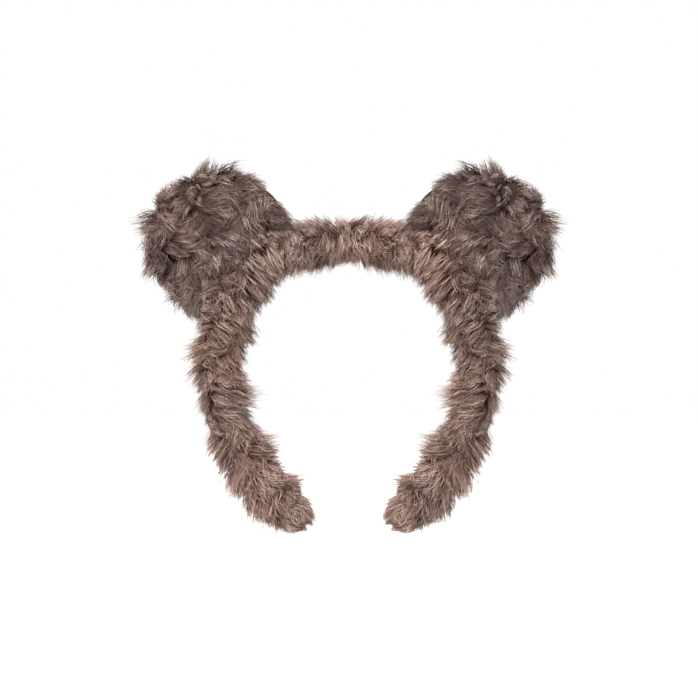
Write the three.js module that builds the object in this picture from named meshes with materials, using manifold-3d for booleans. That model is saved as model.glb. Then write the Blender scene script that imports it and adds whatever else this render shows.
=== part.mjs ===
// A plush animal-ears headband, in millimetres, standing as it is worn.
// x runs to the viewer's right, y away from the viewer, z up. "left" and "right" are the viewer's.
// The origin is where the underside of the crown meets the top of the head.
// A springy plastic hoop is wrapped in wadding and drawn into a long-pile fur sleeve, sewn shut
// along its head side. Two padded fur ears are whip-stitched on the shoulders of the band.
import * as THREE from "three";
import { mergeVertices } from "three/addons/utils/BufferGeometryUtils.js";
import Module from "manifold-3d";

const wasm = await Module();
wasm.setup();

const degree = Math.PI / 180;
const clearance = 0.3;
const cutOverrun = 4;

// The hoop's middle line: each half is four arcs, each tangent to the last, from the crown outward.
const crownArcRadius = 124;
const crownArcAngle = 13 * degree;
const shoulderArcRadius = 45;
const shoulderArcAngle = 43 * degree;
const sideArcRadius = 82;
const sideArcAngle = 54 * degree;
const tailArcRadius = 115;
const tailArcAngle = 30.5 * degree;
const hoopArcs = [
  { radius: crownArcRadius, angle: crownArcAngle },
  { radius: shoulderArcRadius, angle: shoulderArcAngle },
  { radius: sideArcRadius, angle: sideArcAngle },
  { radius: tailArcRadius, angle: tailArcAngle },
];
const halfLength = hoopArcs.reduce((sum, arc) => sum + arc.radius * arc.angle, 0);

// How finely the round lengths are faceted: the fur sleeve, and the wadding and strip inside it.
const sleeveSides = 16;
const sleeveStep = 9;
const innerSides = 12;
const innerStep = 14;

// The plastic strip that springs the band on to the head.
const coreWidth = 8;
const coreThickness = 2;
const coreEdgeShare = 0.3;
const coreTipShares = [0, 0.5, 0.8, 1];

// The wadding wound round it, and how far short of the strip's end it stops.
const waddingCover = 2.1;
const waddingShort = 8;
const waddingRadius = Math.hypot(coreWidth, coreThickness) / 2 + waddingCover;

// The fur sleeve: its backing and its pile, to the pile's mean surface.
const furThickness = 6;
const boreRadius = waddingRadius + clearance;
// How thick the pile stands, as shares of furThickness, at shares of the way from crown to tip.
const pileShares = [
  [0, 0.76],
  [0.12, 0.82],
  [0.32, 0.98],
  [0.52, 1.06],
  [0.68, 0.98],
  [0.84, 1.2],
  [1, 0.95],
];

// The closing seam along the head side: a parting in the pile with a wavy thread at its bottom.
const threadRadius = 0.4;
const threadSides = 4;
const stepsPerStitch = 4;
const seamStitchLength = 12;
const seamStitchReach = 0.8;
const seamDepthShare = 0.25;
const partingStep = 7;

// Where the hoop bends: two places on each side, counted along the hoop from the crown's middle.
const crownFlexAt = 14;
const armFlexAt = 108;
const flexBallMargin = 1.6;
const ballSides = 20;

// Each ear is a horseshoe of two fur panels over a flat pad of stuffing, set on the band's shoulder.
const earLeanAngle = 45 * degree;
const earRadius = 37.4;
const earBaseHalfWidth = 35;
const earRise = 14.2;
const earShift = 3.6;
const earThickness = 20;
const earDishDepth = 1.4;
const earDishShare = 0.65;
const earTuck = 8;
const earCentreDrop = 11;
const earPileRim = 7;
const earRoundStep = 15;
const crownedShares = [0.2, 0.5, 0.75, 0.9, 0.975];
const lensPlumpness = 2;
const pilePlumpness = 3;
const rimSteps = 24;
const rimGrooveMargin = 0.45;
const earTiltAngle = 35 * degree;
const earTiltDepth = 4.6;
const baseStitchLength = 7;
const baseStitchReach = 3.6;
const baseStitchRun = 56;
const seatSides = 20;
const seatStep = 6;

const furBrown = new THREE.MeshStandardMaterial({ color: 0x79645b, roughness: 0.95 });
const earBrown = new THREE.MeshStandardMaterial({ color: 0x665450, roughness: 0.95 });
const waddingWhite = new THREE.MeshStandardMaterial({ color: 0xe9e6df, roughness: 1 });
const hoopPlastic = new THREE.MeshStandardMaterial({ color: 0x2c2826, roughness: 0.45 });
const threadBrown = new THREE.MeshStandardMaterial({ color: 0x4f3f38, roughness: 0.7 });

// The station s on the hoop: s is measured from the crown's middle, positive to the viewer's right.
function onHoop(s) {
  let ahead = Math.abs(s);
  let heading = 0;
  let x = 0;
  let z = pileRadius(0);
  for (const { radius, angle } of hoopArcs) {
    const turned = Math.min(ahead / radius, angle);
    x += radius * (Math.sin(heading + turned) - Math.sin(heading));
    z -= radius * (Math.cos(heading) - Math.cos(heading + turned));
    heading += turned;
    ahead -= radius * turned;
  }
  x += ahead * Math.cos(heading);
  z -= ahead * Math.sin(heading);
  const side = s < 0 ? -1 : 1;
  return {
    point: new THREE.Vector3(side * x, 0, z),
    along: new THREE.Vector3(Math.cos(heading), 0, -side * Math.sin(heading)),
    outward: new THREE.Vector3(side * Math.sin(heading), 0, Math.cos(heading)),
  };
}

// The radius of the pile's mean surface round the hoop's line at station s.
function pileRadius(s) {
  const share = Math.min(Math.abs(s) / halfLength, 1);
  const next = Math.max(1, pileShares.findIndex(([at]) => at >= share));
  const [lowAt, low] = pileShares[next - 1];
  const [highAt, high] = pileShares[next];
  const blend = THREE.MathUtils.smoothstep(share, lowAt, highAt);
  return boreRadius + furThickness * THREE.MathUtils.lerp(low, high, blend);
}

// A closed skin through rings of points, fanned shut over its first and last ring.
function skinOver(rings) {
  const sides = rings[0].length;
  const points = rings.flat();
  const middles = [rings[0], rings[rings.length - 1]].map((ring) =>
    ring.reduce((sum, p) => sum.add(p), new THREE.Vector3()).divideScalar(sides),
  );
  const faces = [];
  for (let i = 0; i + 1 < rings.length; i++) {
    for (let j = 0; j < sides; j++) {
      const a = i * sides + j;
      const b = i * sides + ((j + 1) % sides);
      faces.push(a, b, b + sides, a, b + sides, a + sides);
    }
  }
  const last = points.length - sides;
  for (let j = 0; j < sides; j++) {
    const next = (j + 1) % sides;
    faces.push(next, j, points.length, last + j, last + next, points.length + 1);
  }
  const geometry = new THREE.BufferGeometry().setFromPoints([...points, ...middles]);
  geometry.setIndex(faces);
  return signedVolume(geometry) < 0 ? turnedInsideOut(geometry) : geometry;
}

function signedVolume(geometry) {
  const [a, b, c] = [new THREE.Vector3(), new THREE.Vector3(), new THREE.Vector3()];
  const { position } = geometry.attributes;
  let sum = 0;
  for (let i = 0; i < geometry.index.count; i += 3) {
    a.fromBufferAttribute(position, geometry.index.getX(i));
    b.fromBufferAttribute(position, geometry.index.getX(i + 1));
    c.fromBufferAttribute(position, geometry.index.getX(i + 2));
    sum += a.dot(b.cross(c)) / 6;
  }
  return sum;
}

function turnedInsideOut(geometry) {
  const faces = geometry.index.array;
  for (let i = 0; i < faces.length; i += 3) [faces[i + 1], faces[i + 2]] = [faces[i + 2], faces[i + 1]];
  return geometry;
}

// A closed three.js geometry as a solid that can be joined and cut.
function solidFrom(geometry) {
  const bare = geometry.clone();
  bare.deleteAttribute("normal");
  bare.deleteAttribute("uv");
  const merged = mergeVertices(bare);
  return new wasm.Manifold(
    new wasm.Mesh({
      numProp: 3,
      vertProperties: merged.attributes.position.array,
      triVerts: new Uint32Array(merged.index.array),
    }),
  );
}

function meshFrom(solid, name, material) {
  const { vertProperties, triVerts } = solid.getMesh();
  const geometry = new THREE.BufferGeometry();
  geometry.setAttribute("position", new THREE.BufferAttribute(vertProperties, 3));
  geometry.setIndex(new THREE.BufferAttribute(triVerts, 1));
  geometry.computeVertexNormals();
  const mesh = new THREE.Mesh(geometry, material);
  mesh.name = name;
  return mesh;
}

// Evenly spaced numbers from one value to another, no further apart than step.
function evenly(from, to, step) {
  const count = Math.max(1, Math.ceil((to - from) / step));
  return Array.from({ length: count + 1 }, (_, i) => from + ((to - from) * i) / count);
}

function roundSection(radius, sides) {
  return Array.from({ length: sides }, (_, i) => {
    const turn = (2 * Math.PI * i) / sides;
    return [radius * Math.cos(turn), radius * Math.sin(turn)];
  });
}

function boxSection(inner, outer, halfWidth) {
  return [
    [inner, -halfWidth],
    [outer, -halfWidth],
    [outer, halfWidth],
    [inner, halfWidth],
  ];
}

// The points of a section, given as [outward, across], set on the hoop at station s.
function ringAt(s, section) {
  const { point, outward } = onHoop(s);
  return section.map(([out, across]) =>
    point.clone().addScaledVector(outward, out).setY(across),
  );
}

function alongHoop(stations, sectionAt) {
  return skinOver(stations.map((s) => ringAt(s, sectionAt(s))));
}

// A tube round the whole hoop, with a dome at each tip.
const domeAngles = [75, 50, 25].map((turn) => turn * degree);
function domedTube(radiusAt, sides, step) {
  const end = radiusAt(halfLength);
  const tips = domeAngles.map((a) => [halfLength + end * Math.sin(a), end * Math.cos(a)]);
  const body = evenly(-halfLength, halfLength, step).map((s) => [s, radiusAt(s)]);
  const profile = [...tips.map(([s, r]) => [-s, r]), ...body, ...tips.toReversed()];
  return skinOver(profile.map(([s, radius]) => ringAt(s, roundSection(radius, sides))));
}

// The hoop core: a flat strip whose edges are eased and whose tips are rounded.
function stripSection(halfWidth, halfThickness) {
  const ease = coreEdgeShare * coreThickness;
  const flat = Math.max(halfWidth - ease, halfWidth * coreEdgeShare);
  const quarter = [
    [halfThickness, flat],
    [halfThickness - ease, halfWidth],
  ];
  const half = [...quarter, ...quarter.toReversed().map(([out, across]) => [-out, across])];
  return [...half, ...half.toReversed().map(([out, across]) => [out, -across])];
}

function stripHalfWidth(s) {
  const half = coreWidth / 2;
  const past = Math.max(0, Math.abs(s) - (halfLength - half));
  return Math.sqrt(Math.max(half ** 2 - past ** 2, (coreEdgeShare * half) ** 2));
}

const coreTip = coreTipShares.map((share) => halfLength - (coreWidth / 2) * (1 - share));
const coreBody = evenly(-coreTip[0], coreTip[0], innerStep).slice(1, -1);
const coreStations = [...coreTip.map((s) => -s).toReversed(), ...coreBody, ...coreTip];
const hoopCore = solidFrom(
  alongHoop(coreStations, (s) => stripSection(stripHalfWidth(s), coreThickness / 2)),
);

// The slot for the strip, through the wadding and on into the pad in each tip.
const slotReach = halfLength + clearance;
const coreSlot = solidFrom(
  alongHoop(evenly(-slotReach, slotReach, innerStep), () =>
    boxSection(-coreThickness / 2 - clearance, coreThickness / 2 + clearance, coreWidth / 2 + clearance),
  ),
);

// Stretches of the band: square lengths of the hoop that the whole tubes are cut down to.
function stretch(from, to) {
  const reach = furThickness * 2 + boreRadius;
  return solidFrom(alongHoop(evenly(from, to, innerStep), () => boxSection(-reach, reach, reach)));
}

function ballAt(s, radius) {
  const ball = new THREE.SphereGeometry(radius, ballSides, ballSides / 2);
  ball.rotateX(Math.PI / 2);
  return solidFrom(ball.translate(...onHoop(s).point));
}

// At each place where the hoop bends, the inner stretch ends in a ball and the outer one in a cup.
const crownBall = pileRadius(crownFlexAt) + flexBallMargin;
const armBall = pileRadius(armFlexAt) + flexBallMargin;
const tubeEnd = halfLength + pileRadius(halfLength) + cutOverrun;
const crownStretch = stretch(-crownFlexAt, crownFlexAt)
  .add(ballAt(crownFlexAt, crownBall))
  .add(ballAt(-crownFlexAt, crownBall));
const shoulderStretch = stretch(crownFlexAt, armFlexAt)
  .add(ballAt(armFlexAt, armBall))
  .subtract(ballAt(crownFlexAt, crownBall + clearance));
const armStretch = stretch(armFlexAt, tubeEnd).subtract(ballAt(armFlexAt, armBall + clearance));

// Wadding over the strip, and a pad of it in each tip so that the strip's end can't poke through.
const stuffedTube = solidFrom(domedTube(() => waddingRadius, innerSides, innerStep)).subtract(coreSlot);
const waddingEnd = halfLength - waddingShort;
const wadding = stuffedTube.intersect(stretch(-waddingEnd, waddingEnd));
const tipPad = stuffedTube.intersect(stretch(waddingEnd + clearance, tubeEnd));

// The fur sleeve round the wadding, parted along its head side down to the closing thread.
const seamRadius = boreRadius + furThickness * seamDepthShare;
const partingBottom = seamRadius - threadRadius - clearance;
const partingHalfWidth = seamStitchReach + threadRadius + clearance;
const partingTop = boreRadius + furThickness * 2;
const parting = solidFrom(
  alongHoop(evenly(-halfLength, halfLength, partingStep), () =>
    boxSection(-partingTop, -partingBottom, partingHalfWidth),
  ),
);
const sleeve = solidFrom(domedTube(pileRadius, sleeveSides, sleeveStep))
  .subtract(solidFrom(domedTube(() => boreRadius, innerSides, innerStep)))
  .subtract(parting);

// A thread laid along the hoop in even waves: height is its distance from the hoop's line.
class WavyThread extends THREE.Curve {
  constructor({ from, to, height, stitch, reach }) {
    super();
    Object.assign(this, { from, to, height, stitch, reach });
  }

  getPoint(t, target = new THREE.Vector3()) {
    const s = THREE.MathUtils.lerp(this.from, this.to, t);
    const across = this.reach * Math.sin((2 * Math.PI * (s - this.from)) / this.stitch);
    const height = this.height(s);
    const out = Math.sign(height) * Math.sqrt(Math.max(height ** 2 - across ** 2, 0));
    const { point, outward } = onHoop(s);
    return target.copy(point).addScaledVector(outward, out).setY(across);
  }
}

function rodAlong(path, radius, steps) {
  const section = new THREE.Shape(
    roundSection(radius, threadSides).map(([x, y]) => new THREE.Vector2(x, y)),
  );
  const options = { extrudePath: path, steps, bevelEnabled: false };
  return solidFrom(new THREE.ExtrudeGeometry(section, options));
}

function closingThread(from, to) {
  const steps = Math.ceil(((to - from) / seamStitchLength) * stepsPerStitch);
  const path = new WavyThread({
    from,
    to,
    height: () => -seamRadius,
    stitch: seamStitchLength,
    reach: seamStitchReach,
  });
  return rodAlong(path, threadRadius, steps);
}

// The ear's own frame: z outward from the band along the lean, x along the band, y away.
const earSeatAt = crownArcRadius * crownArcAngle + shoulderArcRadius * (earLeanAngle - crownArcAngle);
const earSeat = onHoop(earSeatAt);
const earCentreReach = pileRadius(earSeatAt) + earRise;
const earPlace = new THREE.Group();
earPlace.position.copy(earSeat.point).addScaledVector(earSeat.outward, earCentreReach);
earPlace.position.addScaledVector(earSeat.along, earShift);
earPlace.rotation.y = earLeanAngle;
earPlace.updateMatrixWorld(true);

// The ear's outline: a round top on sides that draw in a little to the base, from base to base.
function earOutline(grow) {
  const radius = earRadius + grow;
  const base = -earCentreReach - earTuck;
  const roundTop = evenly(-90, 90, earRoundStep).map((turn) => {
    const a = turn * degree;
    return [radius * Math.sin(a), radius * Math.cos(a)];
  });
  const half = earBaseHalfWidth + grow;
  const flank = [
    [(radius + half) / 2, base / 2],
    [half, base],
  ];
  return [...flank.map(([x, z]) => [-x, z]).toReversed(), ...roundTop, ...flank];
}

// A pad with that outline: rings drawn in towards a middle, their height set by a crowned profile.
function earPad(grow, halfThickness, plumpness, dish) {
  const outline = earOutline(grow);
  const ring = (share, y) =>
    outline.map(([x, z]) => new THREE.Vector3(x * share, y, (z + earCentreDrop) * share - earCentreDrop));
  const height = (share) => halfThickness * Math.sqrt(1 - share ** plumpness);
  const hollow = (share) => dish * Math.max(0, 1 - (share / earDishShare) ** 2) ** 2;
  const front = crownedShares.map((share) => ring(share, hollow(share) - height(share)));
  const back = crownedShares.toReversed().map((share) => ring(share, height(share)));
  return solidFrom(skinOver([...front, ring(1, 0), ...back]));
}

// What the ear keeps clear of as it tips: the band and its whip stitches, at five angles of tilt.
const seatClearance = 2 * threadRadius + 2 * clearance;
const toEar = earPlace.matrixWorld.clone().invert();
const tiltLine = -earCentreReach - earTiltDepth;
function bandAsTheEarTips(margin) {
  const from = earSeatAt - earRadius * 2;
  const to = earSeatAt + earRadius * 2;
  const round = Math.cos(Math.PI / seatSides);
  const section = (s) => roundSection((pileRadius(s) + margin) / round, seatSides);
  const tube = alongHoop(evenly(from, to, seatStep), section);
  tube.applyMatrix4(toEar);
  return evenly(-earTiltAngle, earTiltAngle, earTiltAngle / 2).map((tilt) => {
    const tipped = tube.clone().translate(0, 0, -tiltLine);
    return solidFrom(tipped.rotateX(tilt).translate(0, 0, tiltLine));
  });
}

function cutAll(solid, cutters) {
  return cutters.reduce((left, cutter) => left.subtract(cutter), solid);
}

const bandCutters = bandAsTheEarTips(seatClearance);
const fillingHalf = earThickness / 2 - furThickness;
const fillingGrow = -earPileRim;
const earFilling = cutAll(earPad(fillingGrow, fillingHalf, lensPlumpness, 0), bandCutters);
const fillingRoom = earPad(fillingGrow + clearance, fillingHalf + clearance, lensPlumpness, 0);

// The seam that joins the two panels runs round the stuffing, in the plane between them.
const rimGrow = fillingGrow + 2 * clearance + threadRadius;
const rimPoints = earOutline(rimGrow).map(([x, z]) => new THREE.Vector3(x, 0, z));
const rimPath = new THREE.CatmullRomCurve3(rimPoints, false, "centripetal");
const rimThread = cutAll(rodAlong(rimPath, threadRadius, rimSteps), bandCutters);
const rimGroove = rodAlong(rimPath, threadRadius + rimGrooveMargin, rimSteps);

// Front and back panels: the outer pad cut in two at the seam and hollowed for the stuffing.
const outerPad = earPad(0, earThickness / 2, pilePlumpness, earDishDepth);
const hollowPad = cutAll(outerPad.subtract(fillingRoom).subtract(rimGroove), bandCutters);
function halfSpace(side) {
  const size = 4 * earRadius;
  const box = new THREE.BoxGeometry(size, size, size);
  return solidFrom(box.translate(0, side * (size / 2 + clearance / 2), 0));
}
const frontPanel = hollowPad.intersect(halfSpace(-1));
const backPanel = hollowPad.intersect(halfSpace(1));

// Whip stitches along the band under the ear: one thread that weaves across the ear's base.
const baseRun = baseStitchRun / 2;
const baseThread = rodAlong(
  new WavyThread({
    from: earSeatAt - baseRun,
    to: earSeatAt + baseRun,
    height: (s) => pileRadius(s) + clearance + threadRadius,
    stitch: baseStitchLength,
    reach: baseStitchReach,
  }),
  threadRadius,
  Math.ceil((baseStitchRun / baseStitchLength) * stepsPerStitch),
);

// Each flexing length of the band carries its own wadding, sleeve and closing thread.
const endGap = clearance + threadRadius;
const crownSeam = closingThread(-crownFlexAt, crownFlexAt);
const shoulderSeam = closingThread(crownFlexAt + crownBall + endGap, armFlexAt);
const armSeam = closingThread(armFlexAt + armBall + endGap, halfLength - endGap);
const headband = new THREE.Group();
const crown = new THREE.Group();
crown.add(
  meshFrom(hoopCore, "hoop_core", hoopPlastic),
  meshFrom(wadding.intersect(crownStretch), "wadding_crown", waddingWhite),
  meshFrom(sleeve.intersect(crownStretch), "fur_sleeve_crown", furBrown),
  meshFrom(crownSeam, "closing_thread_crown", threadBrown),
);
headband.add(crown);

for (const side of ["left", "right"]) {
  const shoulder = new THREE.Group();
  shoulder.scale.x = side === "left" ? -1 : 1;
  const arm = new THREE.Group();
  const ear = earPlace.clone();
  shoulder.add(
    meshFrom(wadding.intersect(shoulderStretch), `wadding_${side}_shoulder`, waddingWhite),
    meshFrom(sleeve.intersect(shoulderStretch), `fur_sleeve_${side}_shoulder`, furBrown),
    meshFrom(shoulderSeam, `closing_thread_${side}_shoulder`, threadBrown),
    meshFrom(baseThread, `${side}_ear_whip_stitches`, threadBrown),
    arm,
    ear,
  );
  arm.add(
    meshFrom(wadding.intersect(armStretch), `wadding_${side}_arm`, waddingWhite),
    meshFrom(sleeve.intersect(armStretch), `fur_sleeve_${side}_arm`, furBrown),
    meshFrom(armSeam, `closing_thread_${side}_arm`, threadBrown),
    meshFrom(tipPad, `tip_pad_${side}`, waddingWhite),
  );
  ear.add(
    meshFrom(frontPanel, `${side}_ear_front_panel`, earBrown),
    meshFrom(backPanel, `${side}_ear_back_panel`, earBrown),
    meshFrom(earFilling, `${side}_ear_stuffing`, waddingWhite),
    meshFrom(rimThread, `${side}_ear_rim_thread`, threadBrown),
  );
  headband.add(shoulder);
}

export default headband;
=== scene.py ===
import math

import bmesh
import bpy
import numpy as np
from mathutils import Matrix, Vector


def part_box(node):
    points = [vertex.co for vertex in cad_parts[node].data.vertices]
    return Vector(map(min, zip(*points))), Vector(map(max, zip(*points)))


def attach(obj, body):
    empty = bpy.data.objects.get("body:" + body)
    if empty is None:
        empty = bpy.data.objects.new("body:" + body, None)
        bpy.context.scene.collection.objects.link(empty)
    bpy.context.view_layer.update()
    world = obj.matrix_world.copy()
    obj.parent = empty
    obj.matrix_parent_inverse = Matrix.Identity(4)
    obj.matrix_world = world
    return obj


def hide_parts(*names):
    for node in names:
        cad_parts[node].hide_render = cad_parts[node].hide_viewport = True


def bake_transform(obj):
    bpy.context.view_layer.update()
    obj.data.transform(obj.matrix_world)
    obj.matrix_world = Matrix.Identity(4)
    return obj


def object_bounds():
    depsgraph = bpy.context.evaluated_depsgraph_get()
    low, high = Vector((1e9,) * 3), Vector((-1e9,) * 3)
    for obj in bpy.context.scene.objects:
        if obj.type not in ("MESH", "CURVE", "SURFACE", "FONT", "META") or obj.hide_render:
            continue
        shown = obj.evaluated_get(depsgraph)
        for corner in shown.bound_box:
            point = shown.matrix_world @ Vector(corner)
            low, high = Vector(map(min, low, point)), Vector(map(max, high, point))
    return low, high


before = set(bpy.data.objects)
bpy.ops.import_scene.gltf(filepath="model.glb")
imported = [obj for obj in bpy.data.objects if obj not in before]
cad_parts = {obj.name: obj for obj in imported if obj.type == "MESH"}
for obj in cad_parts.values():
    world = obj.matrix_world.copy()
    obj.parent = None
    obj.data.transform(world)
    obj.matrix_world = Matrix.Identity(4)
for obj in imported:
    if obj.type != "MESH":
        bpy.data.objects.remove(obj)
cad_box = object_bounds()


# The springy strip inside the band.
# Black polypropylene, 8 mm wide and 2 mm thick, moulded as one open hoop: four arcs a side, each
# tangent to the last. It bends over two flex places a side, so each half is made in two lengths.
MM = 0.001
CROWN_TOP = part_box("fur_sleeve_crown")[1].z
HOOP_HEIGHT = CROWN_TOP / 2
# Each arc's radius and the angle that it turns through, from the crown's middle to the tip.
HOOP_ARCS = (
    (124 * MM, math.radians(13)),
    (45 * MM, math.radians(43)),
    (82 * MM, math.radians(54)),
    (115 * MM, math.radians(30.5)),
)
HALF_HOOP = sum(radius * turn for radius, turn in HOOP_ARCS)
STRIP_WIDTH = 8 * MM
STRIP_THICKNESS = 2 * MM
STRIP_EDGE = 0.6 * MM
STRIP_STEP = 3 * MM
BAND_JOIN = 60 * MM
WELD = 0.001 * MM


def on_hoop(stations):
    """Points on the hoop's line, and the headings there: how far the line has turned down.

    Stations grow to the left from the middle of the crown, and are negative on the right."""
    side = np.where(np.asarray(stations) < 0, -1, 1)
    ahead = np.abs(np.asarray(stations, float))
    heading = np.zeros_like(ahead)
    x = np.zeros_like(ahead)
    z = np.full_like(ahead, HOOP_HEIGHT)
    for radius, turn in HOOP_ARCS:
        turned = np.clip(ahead / radius, 0, turn)
        x -= radius * (np.sin(heading + turned) - np.sin(heading))
        z -= radius * (np.cos(heading) - np.cos(heading + turned))
        heading += turned
        ahead -= radius * turned
    x -= ahead * np.cos(heading)
    z -= ahead * np.sin(heading)
    return np.stack([x * side, np.zeros_like(x), z], -1), heading * side


def hoop_axes(heading):
    """Unit vectors along the band towards the tip, and outward from the head."""
    along = np.stack([-np.cos(heading), np.zeros_like(heading), -np.sin(heading)], -1)
    outward = np.stack([-np.sin(heading), np.zeros_like(heading), np.cos(heading)], -1)
    return along, outward


def mesh_object(name, points, faces):
    """A smooth-shaded mesh object, welded, with its faces pointing outwards."""
    mesh = bpy.data.meshes.new(name)
    mesh.from_pydata([tuple(p) for p in points], [], faces)
    shape = bmesh.new()
    shape.from_mesh(mesh)
    bmesh.ops.remove_doubles(shape, verts=shape.verts, dist=WELD)
    bmesh.ops.recalc_face_normals(shape, faces=shape.faces)
    shape.to_mesh(mesh)
    shape.free()
    mesh.shade_smooth()
    made = bpy.data.objects.new(name, mesh)
    bpy.context.scene.collection.objects.link(made)
    return made


def ring_faces(rings, sides):
    """Quads between rings of points, fanned shut to one more point past the first and last ring."""
    faces = []
    for i in range(rings - 1):
        for j in range(sides):
            a, b = i * sides + j, i * sides + (j + 1) % sides
            faces.append((a, b, b + sides, a + sides))
    first, last = rings * sides, rings * sides + 1
    for j in range(sides):
        k = (j + 1) % sides
        faces.append((k, j, first))
        faces.append(((rings - 1) * sides + j, (rings - 1) * sides + k, last))
    return faces


def strip_section(half_width):
    """The strip's section as (outward, across) pairs, its four edges eased."""
    half = STRIP_THICKNESS / 2
    flat = half_width - STRIP_EDGE
    eased = half - STRIP_EDGE
    quarter = [(half, 0), (half, flat), (eased, half_width), (0, half_width)]
    back = [(-out, across) for out, across in quarter[::-1]][1:]
    side = quarter + back
    return side + [(out, -across) for out, across in side[::-1]][1:-1]


def strip_length(name, start, end, rounded):
    """A length of the strip, with its last end rounded where it is the hoop's tip."""
    stations = np.linspace(start, end, math.ceil((end - start) / STRIP_STEP) + 1)
    half = np.full(len(stations), STRIP_WIDTH / 2)
    if rounded:
        last = np.clip(stations - (end - STRIP_WIDTH / 2), 0, None)
        half = np.sqrt(np.clip((STRIP_WIDTH / 2) ** 2 - last**2, (STRIP_EDGE * 2) ** 2, None))
    line, heading = on_hoop(stations)
    outward = hoop_axes(heading)[1]
    points = []
    for place, out_way, half_width in zip(line, outward, half):
        for out, across in strip_section(half_width):
            points.append(place + out_way * out + np.array((0, across, 0)))
    sides = len(strip_section(STRIP_WIDTH / 2))
    points += [line[0], line[-1]]
    return mesh_object(name, points, ring_faces(len(stations), sides))


def both_sides(left):
    """A left piece and its mirror image, as the headband's two halves are alike."""
    name = left.name.replace("left", "right")
    mesh = left.data.copy()
    mesh.name = name
    mesh.transform(Matrix.Scale(-1, 4, Vector((1, 0, 0))))
    mesh.flip_normals()
    right = bpy.data.objects.new(name, mesh)
    bpy.context.scene.collection.objects.link(right)
    return {"left": left, "right": right}


def socket_of(sockets, key):
    """The socket in use with this number, name or identifier."""
    if isinstance(key, int):
        return sockets[key]
    return next(s for s in sockets if s.enabled and key in (s.identifier, s.name))


def add_node(tree, kind, plugs=None, **settings):
    """A node with its settings made, and its inputs plugged or given a value."""
    node = tree.nodes.new(kind)
    for name, value in settings.items():
        setattr(node, name, value)
    for key, value in (plugs or {}).items():
        if isinstance(value, bpy.types.NodeSocket):
            tree.links.new(value, socket_of(node.inputs, key))
        else:
            socket_of(node.inputs, key).default_value = value
    return node


def new_finish(name, roughness):
    """A new material with its node tree, its shader and the place on the piece."""
    finish = bpy.data.materials.new(name)
    finish.use_nodes = True
    tree = finish.node_tree
    shader = tree.nodes["Principled BSDF"]
    shader.inputs["Roughness"].default_value = roughness
    place = add_node(tree, "ShaderNodeTexCoord").outputs["Object"]
    return finish, tree, shader, place


def two_toned(tree, shader, share, dark, light):
    """Colours a surface from a dark to a light tone as share goes from 0 to 1."""
    tones = add_node(tree, "ShaderNodeValToRGB", {"Fac": share})
    tones.color_ramp.elements[0].color = (*dark, 1)
    tones.color_ramp.elements[1].color = (*light, 1)
    tree.links.new(tones.outputs["Color"], shader.inputs["Base Color"])


def raised(tree, shader, height, strength, depth):
    """Shades a surface as if a pattern's height raised it."""
    plugs = {"Height": height, "Strength": strength, "Distance": depth}
    bump = add_node(tree, "ShaderNodeBump", plugs)
    tree.links.new(bump.outputs["Normal"], shader.inputs["Normal"])


PLASTIC_DARK = (0.012, 0.011, 0.010)
PLASTIC_LIGHT = (0.026, 0.023, 0.021)
PLASTIC_ROUGHNESS = 0.42
PLASTIC_GRAIN_SCALE = 2500.0
PLASTIC_GRAIN_STRENGTH = 0.15
PLASTIC_GRAIN_DEPTH = 0.05 * MM


def strip_plastic():
    """Satin black plastic with a faint moulded grain."""
    finish, tree, shader, place = new_finish("strip plastic", PLASTIC_ROUGHNESS)
    plugs = {"Vector": place, "Scale": PLASTIC_GRAIN_SCALE, "Detail": 3.0}
    grain = add_node(tree, "ShaderNodeTexNoise", plugs).outputs["Fac"]
    two_toned(tree, shader, grain, PLASTIC_DARK, PLASTIC_LIGHT)
    raised(tree, shader, grain, PLASTIC_GRAIN_STRENGTH, PLASTIC_GRAIN_DEPTH)
    return finish


plastic = strip_plastic()
upper_strips = both_sides(strip_length("hoop_strip_left_upper", 0, BAND_JOIN, False))
lower_strips = both_sides(strip_length("hoop_strip_left_lower", BAND_JOIN, HALF_HOOP, True))
CROWN_FLEX = 14 * MM
ARM_FLEX = 108 * MM
FLEX_REACH = 8 * MM


def flex_ends(station, side):
    """Where the bend over a flex place starts and ends."""
    flip = np.array((-1 if side == "right" else 1, 1, 1))
    places = on_hoop([station - FLEX_REACH, station + FLEX_REACH])[0]
    return [tuple(place * flip) for place in places]


def bend_at_crown(piece, side):
    """Finds where the flex place beside the crown starts and ends, and bakes the piece's place into
    its mesh.
    """
    start, end = flex_ends(CROWN_FLEX, side)
    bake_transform(piece)


def bend_at_arm(piece, side):
    """Finds where the flex place at the band's widest place starts and ends, and bakes the piece's
    place into its mesh.
    """
    start, end = flex_ends(ARM_FLEX, side)
    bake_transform(piece)


for side, upper in upper_strips.items():
    lower = lower_strips[side]
    for strip in (upper, lower):
        strip.data.materials.append(plastic)
    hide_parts("hoop_core")
    bend_at_crown(upper, side)
    bend_at_arm(lower, side)


# The sewing thread: the closing seam on the head side, the ears' rims and the whip stitches.
# Dark brown twisted polyester. These nodes have their real size in the frame, so they stay as they
# are and only get their finish.
# The thread's two tones: painted shade in the grooves and painted light on the plies.
THREAD_GROOVE_SHADE = (0.030, 0.018, 0.013)
THREAD_LIT_PLY = (0.105, 0.070, 0.055)
THREAD_ROUGHNESS = 0.6
PLY_SCALE = 900.0
PLY_STRENGTH = 0.4
PLY_DEPTH = 0.1 * MM


def sewing_thread():
    """Twisted polyester: fine slanting plies, with painted shade in the grooves and painted light
    on the plies.
    """
    finish, tree, shader, place = new_finish("sewing thread", THREAD_ROUGHNESS)
    plugs = {"Vector": place, "Scale": PLY_SCALE, "Distortion": 2.0}
    plies = add_node(tree, "ShaderNodeTexWave", plugs).outputs["Fac"]
    two_toned(tree, shader, plies, THREAD_GROOVE_SHADE, THREAD_LIT_PLY)
    raised(tree, shader, plies, PLY_STRENGTH, PLY_DEPTH)
    return finish


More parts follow.
